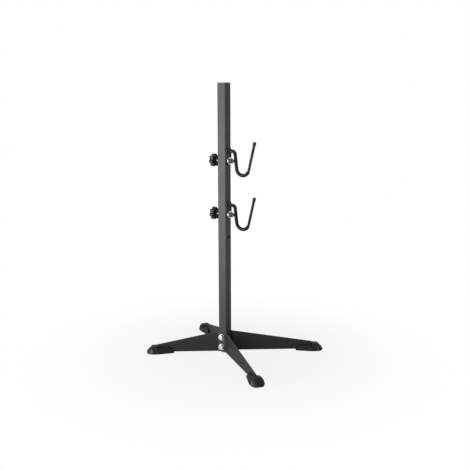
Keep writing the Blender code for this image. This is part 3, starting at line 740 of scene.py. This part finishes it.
def plate_ring(side, way, point, heading, top):
    """The plate's upright section at one place. Side is -1 on the near plate, way is -1 on a short leg."""
    half = PLATE_THICKNESS / 2
    low, high = plate_low.z, plate_low.z + top
    corners = [(-half, low), (half, low), (half, high), (-half, high)]
    ring = []
    for across, height, ridge in eased([(*corner, PLATE_EASING) for corner in corners]):
        x = way * (point.x - across * math.sin(heading))
        y = side * (PLATE_MIDDLE_Y + point.y + across * math.cos(heading))
        ring.append((POST_X + x, y, height, ridge))
    return ring


def make_leg_plate(name, side):
    rings = [plate_ring(side, -1, *section) for section in half_plate("short")[:0:-1]]
    rings += [plate_ring(side, 1, *section) for section in half_plate("long")]
    plate = skin(f"{name}_painted", rings)
    drills = bolt_drills(side * PLATE_MIDDLE_Y, PLATE_THICKNESS / 2)
    dress(cut(plate, *drills), name, "satin_black_paint")


make_leg_plate("leg_plate_near", -1)
make_leg_plate("leg_plate_far", 1)

# %% [markdown]
# ## The boots
#
# A rubber boot is pushed over the end of each leg. Its sides rise from a broad sole to a shoulder, slope in
# from there to the leg, and stop short of the leg's top edge. The toe stands higher, closes the leg's end
# and falls forward to a round nose. Six sections give that form. A bevel rounds its moulded edges, and a
# slot is cut for the leg.

# %% Boot sizes
BOOT_LENGTH = 74 * MM
BOOT_STEP = 1.5 * MM
BOOT_RIDGE = 13.8 * MM
BOOT_NOSE = 5 * MM
BOOT_SLANT = 11 * MM
TIP_UNDERCUT = 2 * MM
SIDE_HEIGHT = 16.5 * MM
TOE_HEIGHT = 19.5 * MM
TOE_BACK_HEIGHT = 20.5 * MM
NOSE_HEIGHT = 11 * MM
TIP_HEIGHT = 4.6 * MM
SOLE = 2.5 * MM
INNER_WIDTH = 17.6 * MM
TOE_WIDTH = 36.6 * MM
NOSE_WIDTH = 26.9 * MM
TIP_WIDTH = 15.4 * MM
TOP_WIDTH = 12 * MM
TOE_TOP_WIDTH = 18 * MM
NOSE_TOP_WIDTH = 14.5 * MM
SHOULDER_WIDTH = 0.81
SHOULDER_HEIGHT = 0.75
BOOT_EASING = 1.1 * MM
BOOT_EASING_STEPS = 4
BLUNTEST_EASED = math.radians(20)
print(f"each boot is {BOOT_LENGTH / MM:.0f} mm long and {TOE_WIDTH / MM:.1f} mm wide")


# %% Boots
def boot_ring(back, width, top_width, height, slant=0.0, undercut=0.0, ridge=0.0):
    """A boot's section at a distance back from the tip, round from the sole."""
    shoulder = (slant * SHOULDER_HEIGHT - back, SHOULDER_WIDTH * width / 2, SHOULDER_HEIGHT * height)
    right = [(-back - undercut, (width - SOLE) / 2, 0), (-back, width / 2, SOLE), shoulder]
    right.append((slant - back, top_width / 2, height))
    left = [(x, -y, z) for x, y, z in reversed(right)]
    return [(*point, ridge) for point in right + left]


def make_boot(node, side, way):
    leg = "long" if way > 0 else "short"
    rings = [
        boot_ring(BOOT_LENGTH, INNER_WIDTH, TOP_WIDTH, SIDE_HEIGHT, slant=BOOT_SLANT),
        boot_ring(BOOT_TOE + BOOT_STEP, TOE_WIDTH, TOP_WIDTH, SIDE_HEIGHT),
        boot_ring(BOOT_TOE, TOE_WIDTH, TOE_TOP_WIDTH, TOE_BACK_HEIGHT),
        # This section's ridge mark is where the painted highlight on the toe goes.
        boot_ring(BOOT_RIDGE, TOE_WIDTH, TOE_TOP_WIDTH, TOE_HEIGHT, ridge=1.0),
        boot_ring(BOOT_NOSE, NOSE_WIDTH, NOSE_TOP_WIDTH, NOSE_HEIGHT),
        boot_ring(0, TIP_WIDTH, TIP_WIDTH, TIP_HEIGHT, undercut=TIP_UNDERCUT),
    ]
    heading = math.atan2(side * math.sin(LEG_ANGLE), way * math.cos(LEG_ANGLE))
    corner = Vector((POST_X + way * BEND_X, side * PLATE_MIDDLE_Y, 0))
    tip = corner + REACHES[leg] * Vector((math.cos(heading), math.sin(heading), 0))
    place = Matrix.Translation(tip) @ Matrix.Rotation(heading, 4, "Z")
    boot = skin(f"{node}_moulded", rings, matrix=place)
    easing = boot.modifiers.new("easing", "BEVEL")
    easing.width = BOOT_EASING
    easing.segments = BOOT_EASING_STEPS
    easing.limit_method = "ANGLE"
    easing.angle_limit = BLUNTEST_EASED
    half = PLATE_THICKNESS / 2 + GAP
    back, front = -2 * BOOT_LENGTH, GAP - BOOT_TOE
    outline = [(back, -half), (front, -half), (front, half), (back, half)]
    slot = [[(x, y, z, 0) for x, y in outline] for z in (plate_low.z - GAP, 2 * TOE_HEIGHT)]
    cut(boot, skin("slot", slot, matrix=place))
    boot.data.transform(place)
    boot.matrix_world = Matrix()
    dress(boot, node, "boot_rubber")


for side_name, side in (("near", -1), ("far", 1)):
    for leg_name, way in (("long", 1), ("short", -1)):
        make_boot(f"boot_{side_name}_{leg_name}", side, way)

# %% [markdown]
# ## Fasteners
#
# The bolts and studs are M8: an 8 mm thread with a pitch of 1.25 mm, and hexagons 13 mm across flats. A
# hexagon is a turned piece whose radius depends on the angle, and whose corners a cone has turned off at 30
# degrees. A thread is one too: its depth depends on the height less the share of a pitch that the angle has
# climbed.

# %% Hexagons
FLATS = 13 * MM
HEX_CORNER = 0.985 * FLATS / math.sqrt(3)
HEX_TOP_RADIUS = 0.96 * FLATS / 2
CONE = math.tan(math.radians(30))


def hexagon_at(angle):
    """A hexagon's radius, with two corners on the local Y axis. The corners are a little rounded."""
    from_flat = (angle + math.pi / 6) % (math.pi / 3) - math.pi / 6
    return min(FLATS / 2 / math.cos(from_flat), HEX_CORNER)


def hexagon_wall(low, high, chamfered_below):
    """The wall of a hexagon with its corners turned off on top, and perhaps below."""
    below = [(HEX_TOP_RADIUS, low, 0)] if chamfered_below else []

    def foot(angle):
        radius = hexagon_at(angle)
        return radius, low + (radius - HEX_TOP_RADIUS) * CONE * chamfered_below, 1

    def head(angle):
        radius = hexagon_at(angle)
        return radius, high - (radius - HEX_TOP_RADIUS) * CONE, 1

    return below + [foot, head, (HEX_TOP_RADIUS, high, 0)]


# %% Threads
THREAD_RADIUS = 4 * MM
THREAD_PITCH = 1.25 * MM
THREAD_DEPTH = 0.65 * MM
THREAD_SLOPE = 2.5
THREAD_ROOT = 0.15
THREAD_RINGS = 8


def thread(start, end):
    """A thread between two heights, turned down at its end by a chamfer."""
    rings = []
    for height in evenly(start, end, THREAD_PITCH / THREAD_RINGS):
        limit = THREAD_RADIUS - max(0, THREAD_DEPTH - abs(end - height))

        def ring(angle, height=height, limit=limit):
            turn = (height / THREAD_PITCH - angle / (2 * math.pi)) % 1
            crest = min(1, max(0, THREAD_SLOPE * abs(turn - 0.5) - THREAD_ROOT))
            radius = THREAD_RADIUS - THREAD_DEPTH * (1 - crest)
            return min(radius, limit), height, 2 * crest - 1

        rings.append(ring)
    return rings


def reversed_thread(low, high):
    """A thread that starts with its chamfered end at the bottom."""
    return thread(high, low)[::-1]


# %% Washers and nuts
METAL_EASING = 0.2 * MM
FASTENER_SIDES = 72


def plated(node, profile, matrix, plate=None, closed=True, sides=FASTENER_SIDES):
    piece = turned(f"{node}_plated", profile, sides, closed=closed, matrix=matrix)
    dress(piece, node, "zinc_plated_steel", plate)


def bored(radius, length, easing=METAL_EASING):
    """A ring's profile: its outer wall from the foot up, and then down through its bore."""
    corners = [(radius, 0, easing), (radius, length, METAL_EASING)]
    corners += [(HOLE_RADIUS, length, METAL_EASING), (HOLE_RADIUS, 0, METAL_EASING)]
    return eased(corners)


def make_washer(node, along, up, plate=None):
    matrix, thickness = seat(node, along, up)
    low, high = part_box(node)
    plated(node, bored((high - low).dot(Vector(up)) / 2, thickness), matrix, plate)


def make_nut(node, along, up):
    matrix, thickness = seat(node, along, up)
    ring = bored(FLATS, thickness)
    bore = ring[len(ring) // 2 :]
    plated(node, hexagon_wall(0, thickness, True) + bore, matrix, PAINTED_SHADE_ZINC)


# %% Bolts and studs
HEAD_THICKNESS = 5.3 * MM
HEAD_SEAT_RADIUS = 0.92 * FLATS / 2
HEAD_DISH_RADIUS = 0.35 * FLATS / 2
HEAD_DISH_DEPTHS = (0.15 * MM, 0.2 * MM)
BOLT_THREAD = 22 * MM
STUD_SIDES = 36


def make_bolt(node, along, up):
    """A bolt that stands on its thread's end, with its head on top."""
    matrix, length = seat(node, along, up)
    seat_height = length - HEAD_THICKNESS
    profile = [(0, 0, 0), *reversed_thread(0, BOLT_THREAD)]
    profile += [(THREAD_RADIUS, BOLT_THREAD + THREAD_PITCH / 2, 0), (THREAD_RADIUS, seat_height, 0)]
    profile += [(HEAD_SEAT_RADIUS, seat_height, 0), *hexagon_wall(seat_height, length, False)]
    rim, middle = [length - depth for depth in HEAD_DISH_DEPTHS]
    profile += [(HEAD_DISH_RADIUS, rim, 0), (0, middle, 0)]
    plated(node, profile, matrix, BOLT_ZINC, closed=False)


def make_stud(node, along, up):
    matrix, length = seat(node, along, up)
    middle = length / 2
    profile = [(0, 0, 0), *reversed_thread(0, middle), *thread(middle, length)[1:], (0, length, 0)]
    plated(node, profile, matrix, PAINTED_SHADE_ZINC, closed=False, sides=STUD_SIDES)


# %% Every fastener in its place
UP, ACROSS = (0, 0, 1), (0, 1, 0)
NEAR, FAR = (0, -1, 0), (0, 1, 0)
HOOKWARD, KNOBWARD = (1, 0, 0), (-1, 0, 0)
for level in ("upper", "lower"):
    make_bolt(f"leg_bolt_{level}", NEAR, UP)
    make_washer(f"leg_washer_head_{level}", NEAR, UP)
    make_washer(f"leg_washer_nut_{level}", FAR, UP)
    make_nut(f"leg_nut_{level}", FAR, UP)
for level in HOOK_HEIGHTS:
    make_stud(f"{level}_clamp_stud", HOOKWARD, ACROSS)
    make_washer(f"{level}_clamp_washer", HOOKWARD, ACROSS, PAINTED_HIGHLIGHT_ZINC)
    make_nut(f"{level}_clamp_nut", HOOKWARD, ACROSS)
    make_washer(f"{level}_knob_washer", KNOBWARD, ACROSS, PAINTED_SHADE_ZINC)

# %% [markdown]
# ## The hooks
#
# A hook is 7 mm rod: a short stub out of the tab, a bend down, a run, a wide U, and an arm that leans out.
# The stub is welded to a flat tab, and the weld is a bead of overlapping puddles. The vinyl sleeve and the
# tip's cap follow the same line as the rod, so all three come from one bent bar.

# %% Hook sizes
ROD_RADIUS = 3.5 * MM
STUB_RISE = 25.2 * MM
STUB_BEND_X = 25.8 * MM
STUB_BEND_RADIUS = 8.5 * MM
RUN_LEAN = math.radians(7)
RUN_LENGTH = 36.6 * MM
U_RADIUS = 19.1 * MM
ARM_LEAN = math.radians(14)
ARM_LENGTH = 71.6 * MM
TAB_THICKNESS = 3 * MM
TAB_WIDTH = 21 * MM
TAB_TOP = 34 * MM
TAB_CORNER = 6 * MM
TAB_EASING = 0.25 * MM
TAB_END_LAND = 0.01 * MM
TAB_FACE_X = POST_HALF + GAP + TAB_THICKNESS
WELD_RADIUS = 5.5 * MM
WELD_LENGTH = 2.0 * MM
WELD_STEPS = 6
WELD_PUDDLES = 11
PUDDLE_RISE = 0.22 * MM
PUDDLE_SLANT = 0.5 / MM
WELD_SIDES = 8 * WELD_PUDDLES
SLEEVE_WALL = 0.7 * MM
SLEEVE_LIP = SLEEVE_WALL / 2.5
SLEEVE_START_X = 23.5 * MM
SLEEVE_END_TURN = math.radians(142)
TIP_CAP_LENGTH = 9 * MM
TIP_CAP_WALL = 0.5 * MM
TIP_CAP_END = 1.5 * MM
TIP_CAP_ROUND = 1.9 * MM
ROD_STEP = 1 * MM
ROD_SIDES = 32

STUB_START_X = TAB_FACE_X - TAB_THICKNESS / 2
ROD = Bar((STUB_START_X, STUB_RISE)).run(STUB_BEND_X - STUB_START_X)
ROD.bend(STUB_BEND_RADIUS, RUN_LEAN - math.pi / 2).run(RUN_LENGTH)
U_START = ROD.length
ROD.bend(U_RADIUS, math.pi - RUN_LEAN - ARM_LEAN).run(ARM_LENGTH)
print(f"each hook takes {ROD.length / MM:.0f} mm of rod")


# %% Rod, tab and weld
def make_rod(level, place):
    edge = [(0, ROD.length, 0), (ROD_RADIUS - METAL_EASING, ROD.length, 0)]
    body = [(ROD_RADIUS, distance, 0) for distance in evenly(0, ROD.length - METAL_EASING, ROD_STEP)]
    profile = [(0, 0, 0), *body, *reversed(edge)]
    rod = turned(f"{level}_hook_rod_painted", profile, ROD_SIDES, ROD, matrix=place)
    dress(rod, f"{level}_hook", "satin_black_paint", ROD_PAINT)


def make_tab(level, place):
    """The flat tab: round below about the clamp's axis, and with two round corners on top."""
    start = POST_HALF + GAP
    edge = eased([(TAB_WIDTH, start, 0), (0, start, TAB_EASING), (0, TAB_FACE_X, TAB_EASING),
                  (TAB_WIDTH, TAB_FACE_X, 0)])[1:-1]
    rings = []
    for inset, x, ridge in edge:
        half, top = TAB_WIDTH / 2 - inset, TAB_TOP - inset
        foot, shoulder = half - TAB_END_LAND, TAB_CORNER - inset
        corners = [(half, -half, foot), (half, top, shoulder), (-half, top, shoulder), (-half, -half, foot)]
        rings.append([(x, y, z, ridge) for y, z, _ in eased(corners, steps=14)])
    tab = skin(f"{level}_hook_tab_painted", rings, matrix=place)
    middle = place @ Matrix.Translation((TAB_FACE_X - TAB_THICKNESS / 2, 0, 0)) @ ALONG_X
    cut(tab, drill(HOLE_RADIUS, TAB_THICKNESS / 2, RIM_EASING, middle))
    dress(tab, f"{level}_hook", "satin_black_paint", TAB_PAINT)


def make_weld(level, place):
    def bead(radius, distance):
        def ring(angle):
            puddle = PUDDLE_RISE * math.cos(WELD_PUDDLES * angle + PUDDLE_SLANT * distance)
            return radius + puddle, distance, 0

        return ring

    inside = ROD_RADIUS / 2
    profile = [(inside, -TAB_THICKNESS / 4, 0), (WELD_RADIUS, -TAB_THICKNESS / 4, 0)]
    for step in range(WELD_STEPS + 1):
        turn = math.pi / 2 * step / WELD_STEPS
        radius = ROD_RADIUS + (WELD_RADIUS - ROD_RADIUS) * math.cos(turn)
        profile.append(bead(radius, WELD_LENGTH * math.sin(turn)))
    profile.append((inside, WELD_LENGTH, 0))
    matrix = place @ Matrix.Translation((TAB_FACE_X, 0, STUB_RISE)) @ ALONG_X
    weld = turned(f"{level}_hook_weld_painted", profile, WELD_SIDES, closed=True, matrix=matrix)
    dress(weld, f"{level}_hook", "satin_black_paint")


# %% Sleeve and tip cap
def make_sleeve(level, place):
    inner = ROD_RADIUS + GAP
    outer = inner + SLEEVE_WALL
    start = SLEEVE_START_X - STUB_START_X
    end = U_START + U_RADIUS * SLEEVE_END_TURN
    first, last = start + SLEEVE_LIP, end - SLEEVE_LIP
    rims = eased([(outer, start, SLEEVE_LIP), (outer, end, SLEEVE_LIP), (inner, end, SLEEVE_LIP / 2),
                  (inner, start, SLEEVE_LIP / 2)])
    corner = len(rims) // 4
    outside = [(outer, distance, 0) for distance in evenly(first, last, ROD_STEP)[1:-1]]
    inside = [(inner, distance, 0) for distance in evenly(last, first, 2 * ROD_STEP)[1:-1]]
    profile = rims[:corner] + outside + rims[corner : 3 * corner] + inside + rims[3 * corner :]
    sleeve = turned(f"{level}_hook_sleeve_drawn", profile, ROD_SIDES, ROD, closed=True, matrix=place)
    dress(sleeve, f"{level}_hook_sleeve", "sleeve_vinyl")


def make_tip_cap(level, place):
    bore = ROD_RADIUS + GAP
    outer = bore + TIP_CAP_WALL
    end = ROD.length + GAP + TIP_CAP_END
    skirt = end - TIP_CAP_LENGTH
    corners = [(0, end, 0), (outer, end, TIP_CAP_ROUND), (outer, skirt, METAL_EASING)]
    corners += [(bore, skirt, METAL_EASING / 2), (bore, ROD.length + GAP, 0), (0, ROD.length + GAP, 0)]
    cap = turned(f"{level}_hook_tip_cap_moulded", eased(corners, steps=6), ROD_SIDES, ROD, matrix=place)
    dress(cap, f"{level}_hook_tip_cap", "tip_plastic")


# %% The two hooks
for level, height in HOOK_HEIGHTS.items():
    clamp_axis = Matrix.Translation((POST_X, 0, height))
    for make in (make_rod, make_tab, make_weld, make_sleeve, make_tip_cap):
        make(level, clamp_axis)

# %% [markdown]
# ## The star knobs
#
# A knob is moulded in glass-filled nylon round a threaded insert of plated steel. Seven lobes give the
# fingers their grip. The moulder cores out the back, or the thick lobes would sink as they cool, so the
# back shows a pocket in each lobe, with ribs between them and a hub round the insert.

# %% Knob sizes
KNOB_LOBES = 7
KNOB_RADIUS = 17 * MM
LOBE_DEPTH = 3.4 * MM
KNOB_EASING = 1.3 * MM
KNOB_THICKNESS = 12.5 * MM
KNOB_SKIN = 3 * MM
DOME_RADIUS = 9.5 * MM
DOME = 0.9 * MM
DOME_SHARES = (1.0, 0.95, 0.8, 0.6, 0.4, 0.2, 0.0)
RIM_WEAR = 0.6
CREST_WEAR = 0.4
INSERT_RADIUS = 5.5 * MM
HUB_RADIUS = 7.4 * MM
POCKET_DEPTH = 7 * MM
KNOB_WALL = 1.7 * MM
RIB = 1.4 * MM
POCKET_CORNER = 0.6 * MM
POCKET_MOUTH_AND_FLOOR = (1.05, 0.88)
POCKET_SHARES = (-1, -0.6, -0.2, 0.2, 0.6, 1)
KNOB_SIDES = 24 * KNOB_LOBES
print(f"each knob is {2 * KNOB_RADIUS / MM:.0f} mm across, with {KNOB_LOBES} lobes")


# %% Lobes and pockets
def lobed(angle):
    return KNOB_RADIUS - LOBE_DEPTH / 2 + LOBE_DEPTH / 2 * math.cos(KNOB_LOBES * angle)


def rim_ring(inset, height, ridge):
    """A ring of the knob's lobed wall. Its crests wear more than its valleys."""

    def ring(angle):
        crest = 0.5 + 0.5 * math.cos(KNOB_LOBES * angle)
        return lobed(angle) - inset, height, max(RIM_WEAR * ridge, CREST_WEAR * crest * crest)

    return ring


def pocket(lobe, matrix):
    """The core that leaves a pocket in one lobe. It narrows towards its floor, so that it can be drawn."""
    middle = 2 * math.pi * lobe / KNOB_LOBES
    sides = [(lobed(share * math.pi / KNOB_LOBES) - KNOB_WALL, share) for share in POCKET_SHARES]
    sides += [(HUB_RADIUS, share) for share in (1, 0, -1)]
    corners = []
    for radius, share in sides:
        angle = middle + share * (math.pi / KNOB_LOBES - math.asin(RIB / 2 / radius))
        easing = POCKET_CORNER if abs(share) == 1 else 0
        corners.append((radius * math.cos(angle), radius * math.sin(angle), easing))
    outline = [point[:2] for point in eased(corners)]
    centre = Vector([sum(values) for values in zip(*outline)]) / len(outline)
    heights = (-KNOB_THICKNESS, POCKET_DEPTH - KNOB_THICKNESS / 2)
    rings = []
    for height, share in zip(heights, POCKET_MOUTH_AND_FLOOR):
        rings.append([(*(centre + share * (Vector(point) - centre)), height, 0) for point in outline])
    return skin("pocket", rings, matrix=matrix)


# %% Knobs and inserts
def make_knob(level):
    node = f"{level}_knob"
    face_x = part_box(node)[1].x
    middle = (face_x - KNOB_THICKNESS / 2, 0, HOOK_HEIGHTS[level])
    place = Matrix.Translation(middle) @ ALONG_MINUS_X
    back, front = -KNOB_THICKNESS / 2, KNOB_THICKNESS / 2
    floor = front - KNOB_SKIN
    bore = INSERT_RADIUS + GAP
    profile = [(0, floor, 0), (bore, floor, 0), (bore, back, 0)]
    wall = eased([(KNOB_RADIUS, back, 0), (0, back, KNOB_EASING), (0, front, KNOB_EASING),
                  (KNOB_RADIUS, front, 0)], steps=5)[1:-1]
    profile += [rim_ring(*point) for point in wall]
    for share in DOME_SHARES:
        profile.append((DOME_RADIUS * share, front + DOME * math.sqrt(1 - share**2), 0))
    knob = turned(f"{node}_moulded", profile, KNOB_SIDES, matrix=place)
    cut(knob, *[pocket(lobe, place) for lobe in range(KNOB_LOBES)])
    dress(knob, node, "knob_plastic")


def make_insert(level):
    node = f"{level}_knob_insert"
    matrix, length = seat(node, KNOBWARD, ACROSS)
    plated(node, bored(INSERT_RADIUS, length, easing=2 * METAL_EASING), matrix, PAINTED_SHADE_ZINC)


for level in HOOK_HEIGHTS:
    make_knob(level)
    make_insert(level)

# %% [markdown]
# ## Floor and light
#
# The photograph is a cut-out on white. The post's left face is an even mid grey and its right face nearly
# black, so one soft lamp stands low at the left, where that face mirrors it into the lens. A flat face
# mirrors the low part of the lamp at its foot and a higher part at its top, so the lamp is two boxes, a
# strong low one and a weaker high one. A faint broad box beside the camera opens up the legs and the boots'
# sides.
#
# The floor is pale. Camera rays see it and the world at full white, which comes from Light Path and not
# from more light. Near the stand the floor keeps a share of its own shading, so the soft shadow stays, and
# the share fades out before the floor ends, so that no horizon shows. Mirrored rays see more of that
# shading, because a real floor under a stand is darker than the backdrop, and metal and gloss show it.

# %% Floor
FLOOR_HALF = 6.0
SHADOW_SHARE = 0.15
MIRRORED_SHADOW_SHARE = 0.90
SHADOW_NEAR = 0.15
SHADOW_FAR = 0.60
FLOOR_GREY = 0.80
FLOOR_ROUGHNESS = 0.9


def seen_directly(graph, mirrored=1.0):
    """1 for rays from the camera, and the given share for rays that were mirrored or went through glass."""
    glossy = graph.add("LightPath", output="Is Glossy Ray")
    through = graph.add("LightPath", output="Is Transmission Ray")
    others = mirrored * graph.maths("MAXIMUM", glossy, through)
    return graph.maths("MAXIMUM", graph.add("LightPath", output="Is Camera Ray"), others)


def make_floor():
    bm = bmesh.new()
    bmesh.ops.create_grid(bm, x_segments=1, y_segments=1, size=FLOOR_HALF)
    floor = as_piece("floor", bm)
    graph = Graph(bpy.data.materials.new("pale_floor"))
    shader = graph.tree.nodes["Principled BSDF"]
    graph.feed(shader, {"Base Color": grey(FLOOR_GREY), "Roughness": FLOOR_ROUGHNESS})
    white = graph.add("Emission", {}, {"Color": grey(1.0), "Strength": 1.0})
    x, y = graph.axis("X"), graph.axis("Y")
    near = 1 - graph.step_up((x * x + y * y) ** 0.5, low=SHADOW_NEAR, high=SHADOW_FAR)
    mirrored = 1 - MIRRORED_SHADOW_SHARE * near
    share = seen_directly(graph, mirrored) * (1 - SHADOW_SHARE * near)
    own = Value(graph, shader.outputs[0])
    surface = graph.add("MixShader", {}, {0: share, 1: own, 2: white})
    graph.tree.links.new(surface.socket, graph.tree.nodes["Material Output"].inputs["Surface"])
    floor.data.materials.append(graph.owner)
    print(f"floor: {2 * FLOOR_HALF:.0f} m across")


make_floor()

# %% World
WORLD_LEVEL = 0.30


def make_world():
    world = bpy.data.worlds.new("studio")
    bpy.context.scene.world = world
    graph = Graph(world)
    strength = WORLD_LEVEL + (1 - WORLD_LEVEL) * seen_directly(graph)
    graph.feed(graph.tree.nodes["Background"], {"Color": grey(1.0), "Strength": strength})
    print(f"world: {WORLD_LEVEL} for rays that light the stand")


make_world()

# %% Lamps
AIM = Vector((0, 0, 0.35))
LAMP_DISTANCE = 2.2


def softbox(name, bearing, elevation, size, power):
    """A rectangular lamp aimed at the stand. Its bearing is taken leftwards from the post's left face."""
    bearing, elevation = math.radians(bearing), math.radians(elevation)
    level = Vector((-math.sin(bearing), -math.cos(bearing), 0))
    away = level * math.cos(elevation) + Vector((0, 0, math.sin(elevation)))
    lamp = bpy.data.lights.new(name, "AREA")
    lamp.shape = "RECTANGLE"
    lamp.size, lamp.size_y = size
    lamp.energy = power
    box = bpy.data.objects.new(name, lamp)
    box.location = AIM + away * LAMP_DISTANCE
    box.rotation_mode = "QUATERNION"
    box.rotation_quaternion = away.to_track_quat("Z", "Y")
    bpy.context.scene.collection.objects.link(box)
    print(f"{name}: {power} W from a box of {size[0]} x {size[1]} m")


softbox("key_low", bearing=32, elevation=-2.6, size=(0.7, 0.5), power=40)
softbox("key_high", bearing=32, elevation=14.5, size=(0.7, 0.8), power=12)
softbox("front", bearing=-26, elevation=5, size=(1.2, 0.9), power=14)

# %% [markdown]
# ## The view transform
#
# The finished pieces stay inside the imported model's box. Colours are shown through the Standard view
# transform.

# %% Finish
bpy.context.scene.view_settings.view_transform = "Standard"
